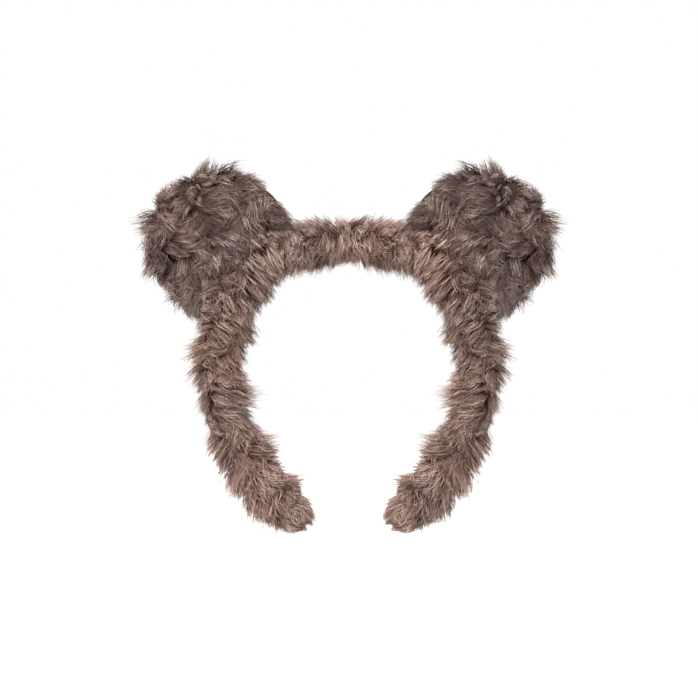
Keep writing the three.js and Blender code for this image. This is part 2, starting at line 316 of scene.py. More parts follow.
thread = sewing_thread()
for name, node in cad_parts.items():
    if "thread" in name or "stitches" in name:
        node.data.materials.clear()
        node.data.materials.append(thread)


# The band's backing: the knitted ground cloth of the fake fur, drawn round the wadding.
# A tube of brown knit, round over the strip and its wadding, domed at the tip and closed along the
# head side. The pile is rooted in it. It is made in two lengths a side.
BACKING_RADIUS = 7.0 * MM
BACKING_SIDES = 40
BACKING_STEP = 1.5 * MM
DOME_ANGLES = (15, 30, 45, 60, 75, 84)


def band_backing(name, start, end, domed, closed=True):
    """A length of the backing's tube, with a vertex for each station and angle round it."""
    stations = list(np.linspace(start, end, math.ceil((end - start) / BACKING_STEP) + 1))
    radii = [BACKING_RADIUS] * len(stations)
    if domed:
        for angle in np.radians(DOME_ANGLES):
            stations.append(end + BACKING_RADIUS * math.sin(angle))
            radii.append(BACKING_RADIUS * math.cos(angle))
    line, heading = on_hoop(stations)
    outward = hoop_axes(heading)[1]
    turns = np.linspace(0, 2 * math.pi, BACKING_SIDES, endpoint=False)
    points = [
        place + radius * (math.cos(turn) * out_way + math.sin(turn) * np.array((0, -1, 0)))
        for place, radius, out_way in zip(line, radii, outward)
        for turn in turns
    ]
    faces = ring_faces(len(stations), BACKING_SIDES)
    tip = on_hoop([end + BACKING_RADIUS])[0][0] if domed else line[-1]
    points += [line[0], tip]
    if not closed:
        first, last = len(points) - 2, len(points) - 1
        open_ends = {first} if domed else {first, last}
        faces = [face for face in faces if not open_ends & set(face)]
    return mesh_object(name, points, faces)


def maths(tree, operation, *values):
    """A Math node's result."""
    plugs = dict(enumerate(values))
    return add_node(tree, "ShaderNodeMath", plugs, operation=operation).outputs[0]


def mixed_colours(tree, share, first, second):
    """The first colour where share is 0 or less, and the second where it is 1 or more."""
    plugs = {"Factor": share, "A": first, "B": second}
    node = add_node(tree, "ShaderNodeMix", plugs, data_type="RGBA")
    return socket_of(node.outputs, "Result")


def shader_group(name, inputs, outputs):
    """An empty shader node group, the sockets of what it is given, and those of its result."""
    group = bpy.data.node_groups.new(name, "ShaderNodeTree")
    for way, sockets in (("INPUT", inputs), ("OUTPUT", outputs)):
        for title, kind in sockets.items():
            group.interface.new_socket(title, in_out=way, socket_type="NodeSocket" + kind)
    given = group.nodes.new("NodeGroupInput").outputs
    result = group.nodes.new("NodeGroupOutput").inputs
    return group, given, result


LOOP_SCALE = 1100.0
LOOP_CLOUD_SCALE = 160.0
LOOP_LIT_SHARE = 0.5


def knit_loops():
    """The effect of warp knit: rows of small loops, with painted light on their backs and painted
    shade between them.
    """
    inputs = {"Place": "Vector", "Groove": "Color", "Loop": "Color"}
    group, given, result = shader_group("knit", inputs, {"Color": "Color", "Height": "Float"})
    plugs = {"Vector": given["Place"], "Scale": LOOP_SCALE}
    loops = add_node(group, "ShaderNodeTexVoronoi", plugs, feature="F1").outputs["Distance"]
    plugs = {"Vector": given["Place"], "Scale": LOOP_CLOUD_SCALE, "Detail": 4.0}
    cloud = add_node(group, "ShaderNodeTexNoise", plugs).outputs["Fac"]
    share = maths(group, "DIVIDE", maths(group, "MULTIPLY", loops, cloud), LOOP_LIT_SHARE)
    tone = mixed_colours(group, share, given["Groove"], given["Loop"])
    group.links.new(tone, result["Color"])
    group.links.new(loops, result["Height"])
    return group


KNIT = knit_loops()
KNIT_ROUGHNESS = 0.9
LOOP_STRENGTH = 0.6
LOOP_DEPTH = 0.3 * MM


def knit_cloth(name, groove_shade, lit_loop):
    """Warp-knit cloth in its yarn's colour, with painted shade in the grooves and painted light on
    the loops.
    """
    finish, tree, shader, place = new_finish(name, KNIT_ROUGHNESS)
    plugs = {"Place": place, "Groove": (*groove_shade, 1), "Loop": (*lit_loop, 1)}
    knit = add_node(tree, "ShaderNodeGroup", plugs, node_tree=KNIT).outputs
    tree.links.new(knit["Color"], shader.inputs["Base Color"])
    raised(tree, shader, knit["Height"], LOOP_STRENGTH, LOOP_DEPTH)
    return finish


# The backing's knit tones: painted shade in the grooves and painted light on the loops.
BACKING_GROOVE_SHADE = (0.050, 0.033, 0.026)
BACKING_LIT_LOOP = (0.120, 0.083, 0.068)
backing = knit_cloth("knit backing", BACKING_GROOVE_SHADE, BACKING_LIT_LOOP)
upper_backings = both_sides(band_backing("band_backing_left_upper", 0, BAND_JOIN, False))
lower_backings = both_sides(band_backing("band_backing_left_lower", BAND_JOIN, HALF_HOOP, True))
for side, upper in upper_backings.items():
    lower = lower_backings[side]
    for length in (upper, lower):
        length.data.materials.append(backing)
    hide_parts("wadding_crown", "fur_sleeve_crown")
    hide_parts(f"wadding_{side}_shoulder", f"fur_sleeve_{side}_shoulder")
    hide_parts(f"wadding_{side}_arm", f"fur_sleeve_{side}_arm", f"tip_pad_{side}")
    bend_at_crown(upper, side)
    bend_at_arm(lower, side)


# The ears' pads: two knit panels sewn face to face, turned and filled with loose fibre.
# Each is a flat cushion with a round top and sides that draw in to the band, dished a little in
# front. Its rim is the seam of the two panels. It bends over its sewn base as the ear tilts.
EAR_LEAN = math.radians(45)
(CROWN_ARC, CROWN_TURN), (SHOULDER_ARC, _) = HOOP_ARCS[:2]
EAR_SEAT = CROWN_ARC * CROWN_TURN + SHOULDER_ARC * (EAR_LEAN - CROWN_TURN)
EAR_REACH = 26.4 * MM
EAR_SHIFT = 3.6 * MM
PAD_RADIUS = 33.0 * MM
PAD_BASE_HALF = 32 * MM
PAD_TUCK = 3.0 * MM
PAD_THICKNESS = 10.5 * MM
PAD_DISH = 1.2 * MM
PAD_MIDDLE_DROP = 6 * MM
PAD_DISH_SHARE = 0.65
PAD_PLUMPNESS = 2.4
PAD_RINGS = 26
PAD_RIM_STEP = 5
PAD_SIDE_SHARES = (0.25, 0.5, 0.75, 1)
PAD_SIDE_POWER = 1.5
PAD_FIRST_RING_SHARE = 0.08
seat_point, seat_heading = on_hoop([EAR_SEAT])
seat_along, seat_outward = (way[0] for way in hoop_axes(seat_heading))
ear_centre = seat_point[0] + seat_outward * EAR_REACH + seat_along * EAR_SHIFT


def ear_place(across, up, depth):
    """A point of the ear: across is towards the band's tip, up is away from the band."""
    return ear_centre + seat_along * across + seat_outward * up + np.array((0, depth, 0))


def pad_outline():
    """The rim as (across, up) pairs: over the round top, down one side, along the base and up."""
    angles = np.radians(range(-90, 91, PAD_RIM_STEP))
    top = [(PAD_RADIUS * math.sin(a), PAD_RADIUS * math.cos(a)) for a in angles]
    seat = BACKING_RADIUS - PAD_TUCK - EAR_REACH
    corner = seat - PAD_BASE_HALF**2 / (2 * SHOULDER_ARC)
    side = [
        (PAD_RADIUS + (PAD_BASE_HALF - PAD_RADIUS) * share**PAD_SIDE_POWER, corner * share)
        for share in PAD_SIDE_SHARES
    ]
    base = [
        (PAD_BASE_HALF * (1 - share), seat + (corner - seat) * (1 - share) ** 2)
        for share in PAD_SIDE_SHARES
    ]
    half = side + base
    other = [(-across, up) for across, up in half[::-1][1:]]
    return top + half + other


def ear_pad(name):
    """Rings from the middle of the front out to the rim, and back in to the middle behind."""
    rim = np.array(pad_outline())
    centre = np.array((0, -PAD_MIDDLE_DROP))
    points = []
    shares = np.sin(np.linspace(PAD_FIRST_RING_SHARE, 1, PAD_RINGS) * math.pi / 2)
    for face in (-1, 1):
        ordered = shares if face < 0 else shares[::-1][1:]
        for share in ordered:
            height = PAD_THICKNESS / 2 * math.sqrt(max(1 - share**PAD_PLUMPNESS, 0))
            dished = max(0, 1 - (share / PAD_DISH_SHARE) ** 2) ** 2 if face < 0 else 0
            for across, up in centre + (rim - centre) * share:
                points.append(ear_place(across, up, face * height + PAD_DISH * dished))
    points.append(ear_place(*centre, -PAD_THICKNESS / 2 + PAD_DISH))
    points.append(ear_place(*centre, PAD_THICKNESS / 2))
    return mesh_object(name, points, ring_faces(2 * PAD_RINGS - 1, len(rim)))


pad_left = ear_pad("ear_pad_left")
for side, pad in both_sides(pad_left).items():
    pad.data.materials.append(backing)
    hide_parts(f"{side}_ear_front_panel", f"{side}_ear_back_panel", f"{side}_ear_stuffing")
    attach(pad, f"{side}_ear")


# The ears' rims: the edges of the two panels, sewn together and left standing round the top.
# A thin double layer of the brown knit. It shows as a dark line where the pile lies flat, most of
# all on the side towards the crown, where it stands out furthest.
RIM_START = 6
RIM_END = 104
RIM_STEP = 4
RIM_RISE = 12
RIM_FALL = 30
RIM_ROOT = 30 * MM
RIM_REACH = 35.2 * MM
RIM_LEAST_SHARE = 0.3
RIM_SWELL = 3.2 * MM
RIM_SWELL_AT = 32
RIM_SWELL_WIDTH = 22
RIM_THICKNESS = 1.0 * MM
RIM_SET_BACK = 1.2 * MM
RIM_WAVE = 0.5 * MM
RIM_WAVES = 7


def ear_rim(name):
    """A thin band of cloth round the pad's top, by degrees from the crown's side over the top."""
    points = []
    ends = []
    angles = range(RIM_START, RIM_END + 1, RIM_STEP)
    for angle in angles:
        swell = RIM_SWELL * math.exp(-(((angle - RIM_SWELL_AT) / RIM_SWELL_WIDTH) ** 2))
        share = min(1, (angle - RIM_START) / RIM_RISE, (RIM_END - angle) / RIM_FALL)
        share = RIM_LEAST_SHARE + (1 - RIM_LEAST_SHARE) * math.sqrt(share)
        reach = RIM_ROOT + (RIM_REACH + swell - RIM_ROOT) * share
        turn = math.radians(angle)
        depth = RIM_SET_BACK + RIM_WAVE * math.sin(RIM_WAVES * turn)
        half = RIM_THICKNESS / 2
        section = ((RIM_ROOT, -half), (reach - half, -half), (reach, 0), (reach - half, half))
        for out, across in section + ((RIM_ROOT, half),):
            way = np.array((math.cos(turn) * out, depth + across, math.sin(turn) * out))
            points.append(ear_centre + way)
        middle = (RIM_ROOT + reach) / 2
        ends.append(ear_centre + (math.cos(turn) * middle, depth, math.sin(turn) * middle))
    return mesh_object(name, points + [ends[0], ends[-1]], ring_faces(len(angles), 5))


# The rim's knit tones: painted shade in the grooves and painted light on the loops.
RIM_GROOVE_SHADE = (0.025, 0.017, 0.013)
RIM_LIT_LOOP = (0.075, 0.052, 0.043)
rim_cloth = knit_cloth("knit edge", RIM_GROOVE_SHADE, RIM_LIT_LOOP)
for side, rim in both_sides(ear_rim("ear_rim_left")).items():
    rim.data.materials.append(rim_cloth)
    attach(rim, f"{side}_ear")


# The band's pile: long shaggy acrylic fur, knitted into the backing and brushed into locks.
# Hairs near one another lie together as a wisp, and wisps as a lock, which the brush has swirled.
# Each hair is a fine closed strand that rises from its root and then lies over its neighbours.
def vector_maths(tree, operation, *values, out="Vector"):
    """A Vector Math node's result."""
    plugs = dict(enumerate(values))
    node = add_node(tree, "ShaderNodeVectorMath", plugs, operation=operation)
    return socket_of(node.outputs, out)


def scaled(tree, vector, factor):
    """A vector made longer or shorter."""
    plugs = {0: vector, "Scale": factor}
    return add_node(tree, "ShaderNodeVectorMath", plugs, operation="SCALE").outputs["Vector"]


# How much the locks, the wisps and the hairs differ: turns in radians, and shares of their sizes.
LOCK_TURN = 0.5
LOCK_STRAY_TURN = 1.6
LOCK_LENGTH_SHARES = (0.75, 1.2)
LOCK_HEIGHT_SHARES = (0.7, 1.35)
LOCK_TINT_SHARE = 0.3
LOCK_EDGE = 1.8 * MM
SWIRL_GAIN = 5.0
WISP_TURN = 0.4
WISP_STRAY_TURN = 1.4
WISP_LENGTH_SHARES = (0.8, 1.15)
WISP_HEIGHT_SHARES = (0.7, 1.15)
WISP_BEND_SHARE = 0.35
WISP_TINT_SHARE = 0.65
WISP_EDGE = 0.6 * MM
HAIR_TURN = 0.5
HAIR_LENGTH_SHARES = (0.8, 1.12)
HAIR_HEIGHT_SHARES = (0.65, 1.1)
HAIR_GIRTH_SHARES = (0.7, 1.5)
MOST_PER_SQUARE_METRE = 1e6
# How a hair is shaped: its points and sides, and how early it joins its wisp, rises and thins.
HAIR_POINTS = 4
HAIR_SIDES = 3
GATHER_POWER = 1.2
RISE_POWER = 1.8
TIP_TAPER_SHARE = 0.8
# The strands' map: its columns, and the margins in each.
TINT_COLUMNS = 64
COLUMN_MARGIN_SHARE = 0.01
COLUMN_SPREAD_SHARES = (0.9, 0.2)
MAP_EDGE_SHARE = 0.02


def pile_tree():
    """The Geometry Nodes that grow the pile on a piece of backing."""
    tree = bpy.data.node_groups.new("fur pile", "GeometryNodeTree")
    face = tree.interface
    face.new_socket("Backing", in_out="INPUT", socket_type="NodeSocketGeometry")
    face.new_socket("Whole ground", in_out="INPUT", socket_type="NodeSocketObject")
    for name, value in (
        ("Hairs per square metre", 2.45e6),
        ("Crowding", 1.0),
        ("Hair length", 8 * MM),
        ("Hair thickness", 0.32 * MM),
        ("Pile height", 5.1 * MM),
        ("Lock spacing", 6.5 * MM),
        ("Wisp spacing", 0.8 * MM),
        ("Lock pull", 0.2),
        ("Wisp pull", 0.66),
        ("Swirl", 0.5),
        ("Swirl size", 12 * MM),
        ("Curl", 0.65),
        ("Fray", 0.5 * MM),
    ):
        socket = face.new_socket(name, in_out="INPUT", socket_type="NodeSocketFloat")
        socket.default_value = value
    face.new_socket("Seed", in_out="INPUT", socket_type="NodeSocketInt")
    face.new_socket("Finish", in_out="INPUT", socket_type="NodeSocketMaterial")
    face.new_socket("Pile", in_out="OUTPUT", socket_type="NodeSocketGeometry")
    given = tree.nodes.new("NodeGroupInput").outputs
    place = add_node(tree, "GeometryNodeInputPosition").outputs[0]

    def named(name, kind="FLOAT"):
        node = add_node(tree, "GeometryNodeInputNamedAttribute", {"Name": name}, data_type=kind)
        return socket_of(node.outputs, "Attribute")

    def stored(geometry, name, value, kind="FLOAT", domain="POINT"):
        plugs = {"Geometry": geometry, "Name": name, "Value": value}
        node = add_node(
            tree, "GeometryNodeStoreNamedAttribute", plugs, data_type=kind, domain=domain
        )
        return node.outputs["Geometry"]

    def random(low, high, seed):
        plugs = {"Min_001": low, "Max_001": high, "Seed": seed}
        return socket_of(add_node(tree, "FunctionNodeRandomValue", plugs).outputs, "Value")

    def random_vector(seed):
        plugs = {"Min": (-1.0, -1.0, -1.0), "Max": (1.0, 1.0, 1.0), "Seed": seed}
        node = add_node(tree, "FunctionNodeRandomValue", plugs, data_type="FLOAT_VECTOR")
        return socket_of(node.outputs, "Value")

    def product(*values):
        total = values[0]
        for value in values[1:]:
            total = maths(tree, "MULTIPLY", total, value)
        return total

    def plus(*values):
        total = values[0]
        for value in values[1:]:
            total = vector_maths(tree, "ADD", total, value)
        return total

    def mixed(first, second, share):
        apart = vector_maths(tree, "SUBTRACT", second, first)
        return plus(first, scaled(tree, apart, share))

    def turned(vector, axis, angle):
        plugs = {"Vector": vector, "Axis": axis, "Angle": angle}
        node = add_node(tree, "ShaderNodeVectorRotate", plugs, rotation_type="AXIS_ANGLE")
        return node.outputs["Vector"]

    def spread_points(spacing, seed_step):
        plugs = {
            "Mesh": given["Backing"],
            "Distance Min": spacing,
            "Density Max": MOST_PER_SQUARE_METRE,
            "Seed": maths(tree, "ADD", given["Seed"], seed_step),
        }
        kind = "GeometryNodeDistributePointsOnFaces"
        return add_node(tree, kind, plugs, distribute_method="POISSON")

    def nearest_in(points, stray):
        asked = plus(place, scaled(tree, random_vector(5), stray))
        plugs = {"Geometry": points, "Sample Position": asked}
        return add_node(tree, "GeometryNodeSampleNearest", plugs).outputs["Index"]

    def from_nearest(points, index, value, kind="FLOAT"):
        plugs = {"Geometry": points, "Value": value, "Index": index}
        node = add_node(tree, "GeometryNodeSampleIndex", plugs, data_type=kind)
        return socket_of(node.outputs, "Value")

    # The locks: where the brush left the pile lying one way.
    swirl_plugs = {
        "Vector": place,
        "Scale": maths(tree, "DIVIDE", 1.0, given["Swirl size"]),
        "Detail": 1.0,
    }
    swirl = add_node(tree, "ShaderNodeTexNoise", swirl_plugs).outputs["Fac"]
    swirl = product(maths(tree, "SUBTRACT", swirl, 0.5), SWIRL_GAIN)
    turn = random(-LOCK_TURN, LOCK_TURN, 11)
    swirl = product(maths(tree, "ADD", swirl, turn), given["Swirl"])
    turn = random(-LOCK_STRAY_TURN, LOCK_STRAY_TURN, 16)
    swirl = maths(tree, "ADD", swirl, product(named("stray"), turn))
    spread = spread_points(given["Lock spacing"], 0.0)
    way = turned(named("comb", "FLOAT_VECTOR"), spread.outputs["Normal"], swirl)
    locks = stored(spread.outputs["Points"], "way", way, "FLOAT_VECTOR")
    reach = product(named("length"), random(*LOCK_LENGTH_SHARES, 12))
    locks = stored(locks, "reach", reach)
    rise = product(named("height"), random(*LOCK_HEIGHT_SHARES, 13))
    locks = stored(locks, "rise", rise)
    locks = stored(locks, "bend", product(random(-1.0, 1.0, 14), given["Curl"]))
    locks = stored(locks, "tint", random(0.0, 1.0, 15))

    # The wisps: the few hairs that cling together within a lock.
    spread = spread_points(given["Wisp spacing"], 1.0)
    near = nearest_in(locks, LOCK_EDGE)
    lock_way = from_nearest(locks, near, named("way", "FLOAT_VECTOR"), "FLOAT_VECTOR")
    turn = random(-WISP_STRAY_TURN, WISP_STRAY_TURN, 26)
    stray = product(named("stray"), turn)
    stray = maths(tree, "ADD", stray, random(-WISP_TURN, WISP_TURN, 21))
    way = turned(lock_way, spread.outputs["Normal"], stray)
    lock_root = from_nearest(locks, near, place, "FLOAT_VECTOR")
    wisps = stored(spread.outputs["Points"], "lock root", lock_root, "FLOAT_VECTOR")
    wisps = stored(wisps, "lock way", lock_way, "FLOAT_VECTOR")
    wisps = stored(wisps, "way", way, "FLOAT_VECTOR")
    reach = product(from_nearest(locks, near, named("reach")), random(*WISP_LENGTH_SHARES, 22))
    wisps = stored(wisps, "reach", reach)
    rise = product(from_nearest(locks, near, named("rise")), random(*WISP_HEIGHT_SHARES, 23))
    wisps = stored(wisps, "rise", rise)
    bend = random(-WISP_BEND_SHARE, WISP_BEND_SHARE, 24)
    bend = maths(tree, "ADD", from_nearest(locks, near, named("bend")), bend)
    wisps = stored(wisps, "bend", bend)
    tint = product(from_nearest(locks, near, named("tint")), LOCK_TINT_SHARE)
    tint = maths(tree, "ADD", tint, random(0.0, 1 - LOCK_TINT_SHARE, 25))
    wisps = stored(wisps, "tint", tint)

    # The hairs: each joins a wisp, and is laid out as a row of points.
    crowding = maths(tree, "MULTIPLY_ADD", named("stray"), given["Crowding"], 1.0)
    hair_plugs = {
        "Mesh": given["Backing"],
        "Density": product(given["Hairs per square metre"], crowding),
        "Seed": maths(tree, "ADD", given["Seed"], 2.0),
    }
    kind = "GeometryNodeDistributePointsOnFaces"
    spread = add_node(tree, kind, hair_plugs, distribute_method="RANDOM")
    number = add_node(tree, "GeometryNodeInputIndex").outputs[0]
    near = nearest_in(wisps, WISP_EDGE)
    roots = stored(spread.outputs["Points"], "hair", number, "INT")
    wisp_root = from_nearest(wisps, near, place, "FLOAT_VECTOR")
    roots = stored(roots, "wisp root", wisp_root, "FLOAT_VECTOR")
    for name in ("lock root", "lock way", "way"):
        value = from_nearest(wisps, near, named(name, "FLOAT_VECTOR"), "FLOAT_VECTOR")
        roots = stored(roots, name, value, "FLOAT_VECTOR")
    for name in ("reach", "rise", "bend", "tint"):
        roots = stored(roots, name, from_nearest(wisps, near, named(name)))
    turn = random(-HAIR_TURN, HAIR_TURN, 31)
    own_way = turned(named("way", "FLOAT_VECTOR"), spread.outputs["Normal"], turn)
    side_way = vector_maths(tree, "CROSS_PRODUCT", spread.outputs["Normal"], own_way)
    roots = stored(roots, "own way", own_way, "FLOAT_VECTOR")
    roots = stored(roots, "side way", side_way, "FLOAT_VECTOR")
    roots = stored(roots, "reach", product(named("reach"), random(*HAIR_LENGTH_SHARES, 32)))
    roots = stored(roots, "rise", product(named("rise"), random(*HAIR_HEIGHT_SHARES, 33)))
    tint = product(named("tint"), WISP_TINT_SHARE)
    tint = maths(tree, "ADD", tint, random(0.0, 1 - WISP_TINT_SHARE, 34))
    roots = stored(roots, "tint", tint)
    roots = stored(roots, "girth", random(*HAIR_GIRTH_SHARES, 36))
    roots = stored(roots, "fray", random_vector(35), "FLOAT_VECTOR")
    plugs = {"Geometry": roots, "Amount": HAIR_POINTS}
    rows = add_node(tree, "GeometryNodeDuplicateElements", plugs, domain="POINT")
    along = maths(tree, "DIVIDE", rows.outputs["Duplicate Index"], HAIR_POINTS - 1.0)
    points = stored(rows.outputs["Geometry"], "along", along)

    # Where a hair's points would lie on flat cloth, drawn towards its wisp and its lock.
    t = named("along")
    squared = product(t, t)
    run = product(given["Hair length"], named("reach"))
    run_here = product(run, t)
    bend_here = product(run, named("bend"), squared)
    bending = scaled(tree, named("side way", "FLOAT_VECTOR"), bend_here)
    own = plus(place, scaled(tree, named("own way", "FLOAT_VECTOR"), run_here), bending)
    wisp = scaled(tree, named("way", "FLOAT_VECTOR"), run_here)
    wisp = plus(named("wisp root", "FLOAT_VECTOR"), wisp, bending)
    lock = scaled(tree, named("lock way", "FLOAT_VECTOR"), run_here)
    lock = plus(named("lock root", "FLOAT_VECTOR"), lock, bending)
    flat = mixed(own, wisp, product(maths(tree, "POWER", t, GATHER_POWER), given["Wisp pull"]))
    flat = mixed(flat, lock, product(squared, given["Lock pull"]))
    flat = plus(flat, scaled(tree, named("fray", "FLOAT_VECTOR"), product(given["Fray"], t)))

    # The same points wrapped round the cloth's own shape, rising from it.
    ground = add_node(tree, "GeometryNodeObjectInfo", {"Object": given["Whole ground"]})
    plugs = {"Target": ground.outputs["Geometry"], "Source Position": flat}
    foot = add_node(tree, "GeometryNodeProximity", plugs, target_element="FACES")
    normal = add_node(tree, "GeometryNodeInputNormal").outputs["Normal"]
    plugs = {"Mesh": ground.outputs["Geometry"], "Value": normal, "Sample Position": flat}
    kind = "GeometryNodeSampleNearestSurface"
    above = add_node(tree, kind, plugs, data_type="FLOAT_VECTOR")
    above = vector_maths(tree, "NORMALIZE", socket_of(above.outputs, "Value"))
    left = maths(tree, "SUBTRACT", 1.0, t)
    profile = maths(tree, "SUBTRACT", 1.0, maths(tree, "POWER", left, RISE_POWER))
    profile = maths(tree, "ADD", profile, product(squared, named("stand")))
    climb = product(given["Pile height"], named("rise"), profile)
    lying = plus(foot.outputs["Position"], scaled(tree, above, climb))
    moved = add_node(tree, "GeometryNodeSetPosition", {"Geometry": points, "Position": lying})

    # The rows become tapering three-sided strands, closed at both ends.
    plugs = {
        "Points": moved.outputs["Geometry"],
        "Curve Group ID": named("hair", "INT"),
        "Weight": t,
    }
    curves = add_node(tree, "GeometryNodePointsToCurves", plugs).outputs["Curves"]
    plugs = {"Resolution": HAIR_SIDES, "Radius": 0.5}
    profile = add_node(tree, "GeometryNodeCurvePrimitiveCircle", plugs, mode="RADIUS")
    corner = add_node(tree, "GeometryNodeInputIndex").outputs[0]
    corner = maths(tree, "DIVIDE", corner, float(HAIR_SIDES))
    profile = stored(profile.outputs["Curve"], "round", corner)
    taper = maths(tree, "SUBTRACT", 1.0, product(squared, TIP_TAPER_SHARE))
    width = product(given["Hair thickness"], named("girth"), taper)
    plugs = {"Curve": curves, "Profile Curve": profile, "Scale": width, "Fill Caps": True}
    strands = add_node(tree, "GeometryNodeCurveToMesh", plugs).outputs["Mesh"]

    # The strands' own map has one narrow column for each tint, with roots below and tips above.
    # Where the pile is messy, the lower shafts take a paler tone: painted light that lifts the
    # shade where strokes part.
    column = maths(tree, "FLOOR", product(named("tint"), TINT_COLUMNS - COLUMN_MARGIN_SHARE))
    tint = maths(tree, "DIVIDE", maths(tree, "ADD", column, 0.5), float(TINT_COLUMNS))
    within = maths(tree, "MULTIPLY_ADD", named("round"), *COLUMN_SPREAD_SHARES)
    u = maths(tree, "DIVIDE", maths(tree, "ADD", column, within), float(TINT_COLUMNS))
    strands = stored(strands, "along", maths(tree, "MAXIMUM", t, named("stray")))
    v = maths(tree, "MULTIPLY_ADD", named("along"), 1 - 2 * MAP_EDGE_SHARE, MAP_EDGE_SHARE)
    flat_place = add_node(tree, "ShaderNodeCombineXYZ", {"X": u, "Y": v}).outputs[0]
    strands = stored(strands, "OFBake", flat_place, "FLOAT2", "CORNER")
    strands = stored(strands, "tint", tint)
    plugs = {"Geometry": strands, "Shade Smooth": True}
    smooth = add_node(tree, "GeometryNodeSetShadeSmooth", plugs).outputs["Geometry"]
    plugs = {"Geometry": smooth}
    real = add_node(tree, "GeometryNodeRealizeInstances", plugs).outputs["Geometry"]
    plugs = {"Geometry": real, "Material": given["Finish"]}
    done = add_node(tree, "GeometryNodeSetMaterial", plugs).outputs["Geometry"]
    result = tree.nodes.new("NodeGroupOutput")
    tree.links.new(done, result.inputs["Pile"])
    return tree


SCREEN_POWER = 2.2
PILE_ROUGHNESS = 0.6
PILE_SPECULAR = 0.2
MIDDLE_TONE_SHARE = 0.4
CLOUD_SCALE = 28.0
CLOUD_EDGE_SHARES = (0.35, 0.65)
CLOUD_COOL = (0.93, 0.95, 0.97, 1)
CLOUD_WARM = (1.06, 1.03, 1.0, 1)
# Painted light at the hoop's tips: the pile grows paler from the first height down to the second,
# where its colour is raised by the last factor.
PAINTED_LIGHT_FROM = -100 * MM
PAINTED_LIGHT_TO = -135 * MM
PAINTED_LIGHT_MOST = 1.18


def pile_tones():
    """The effect of pile: darker towards the root with painted shade deep in the pile, pale at the
    tip, each hair a little lighter or darker.

    Soft clouds of warmer and cooler tone lie over it, and painted light makes it paler towards the
    hoop's tips."""
    inputs = {"Place": "Vector", "Along": "Float", "Tint": "Float", "Contrast": "Vector"}
    inputs.update({"Root": "Color", "Middle": "Color", "Tip": "Color"})
    group, given, result = shader_group("pile tones", inputs, {"Color": "Color"})
    share = maths(group, "DIVIDE", given["Along"], MIDDLE_TONE_SHARE)
    toned = mixed_colours(group, share, given["Root"], given["Middle"])
    share = maths(group, "SUBTRACT", given["Along"], MIDDLE_TONE_SHARE)
    share = maths(group, "DIVIDE", share, 1 - MIDDLE_TONE_SHARE)
    toned = mixed_colours(group, share, toned, given["Tip"])
    lighter = maths(group, "SUBTRACT", given["Tint"], 0.5)
    contrast = add_node(group, "ShaderNodeSeparateXYZ", {"Vector": given["Contrast"]}).outputs
    light = {axis: maths(group, "POWER", contrast[axis], lighter) for axis in "XYZ"}
    light = add_node(group, "ShaderNodeCombineXYZ", light).outputs["Vector"]
    toned = vector_maths(group, "MULTIPLY", toned, light)
    plugs = {"Vector": given["Place"], "Scale": CLOUD_SCALE}
    cloud = add_node(group, "ShaderNodeTexNoise", plugs).outputs["Fac"]
    clouds = add_node(group, "ShaderNodeValToRGB", {"Fac": cloud})
    steps = zip(clouds.color_ramp.elements, CLOUD_EDGE_SHARES, (CLOUD_COOL, CLOUD_WARM))
    for step, position, colour in steps:
        step.position = position
        step.color = colour
    toned = vector_maths(group, "MULTIPLY", toned, clouds.outputs["Color"])
    # Painted light: paler towards the hoop's tips, by height.
    height = add_node(group, "ShaderNodeSeparateXYZ", {"Vector": given["Place"]}).outputs["Z"]
    plugs = {"Value": height, "From Min": PAINTED_LIGHT_FROM, "From Max": PAINTED_LIGHT_TO}
    plugs.update({"To Min": 1.0, "To Max": PAINTED_LIGHT_MOST})
    pale = add_node(group, "ShaderNodeMapRange", plugs).outputs["Result"]
    group.links.new(scaled(group, toned, pale), result["Color"])
    return group


PILE_TONES = pile_tones()


def fur_finish(name, root, middle, tip, contrast):
    """Acrylic pile in its tones, with painted shade in the tone at the roots, each given as it is
    seen on a screen, from 0 to 255.

    contrast says how much lighter the palest hairs are than the darkest: red, green and blue."""
    finish, tree, shader, place = new_finish(name, PILE_ROUGHNESS)
    plugs = {"Place": place, "Contrast": contrast}
    for attribute in ("along", "tint"):
        node = add_node(tree, "ShaderNodeAttribute", attribute_name=attribute)
        plugs[attribute.capitalize()] = node.outputs["Fac"]
    for part, seen in (("Root", root), ("Middle", middle), ("Tip", tip)):
        plugs[part] = (*((value / 255) ** SCREEN_POWER for value in seen), 1)
    toned = add_node(tree, "ShaderNodeGroup", plugs, node_tree=PILE_TONES).outputs["Color"]
    tree.links.new(toned, shader.inputs["Base Color"])
    shader.inputs["Specular IOR Level"].default_value = PILE_SPECULAR
    return finish


# The band's tones; the darkest, at the roots, is painted shade deep in the pile.
BAND_SHADED_ROOT = (70, 48, 38)
BAND_MIDDLE = (154, 121, 109)
BAND_TIP = (201, 173, 160)
BAND_CONTRAST = (11.0, 16.5, 19.0)
band_fur = fur_finish("band fur", BAND_SHADED_ROOT, BAND_MIDDLE, BAND_TIP, BAND_CONTRAST)
PILE_TREE = pile_tree()
STROKE_REACH = 6 * MM


def stroked(places, strokes):
    """The way the pile is combed at each place: the nearest strokes of the brush, blended."""
    rows = np.array(strokes, float)
    spots = rows[:, :2] * MM
    angles = np.radians(rows[:, 2])
    ways = np.stack([np.cos(angles), np.zeros_like(angles), np.sin(angles)], -1)
    apart = ((places[:, None, [0, 2]] - spots[None]) ** 2).sum(-1) / STROKE_REACH**2
    weights = np.exp(-(apart - apart.min(1, keepdims=True)) / 2)
    return weights @ ways / weights.sum(1, keepdims=True)


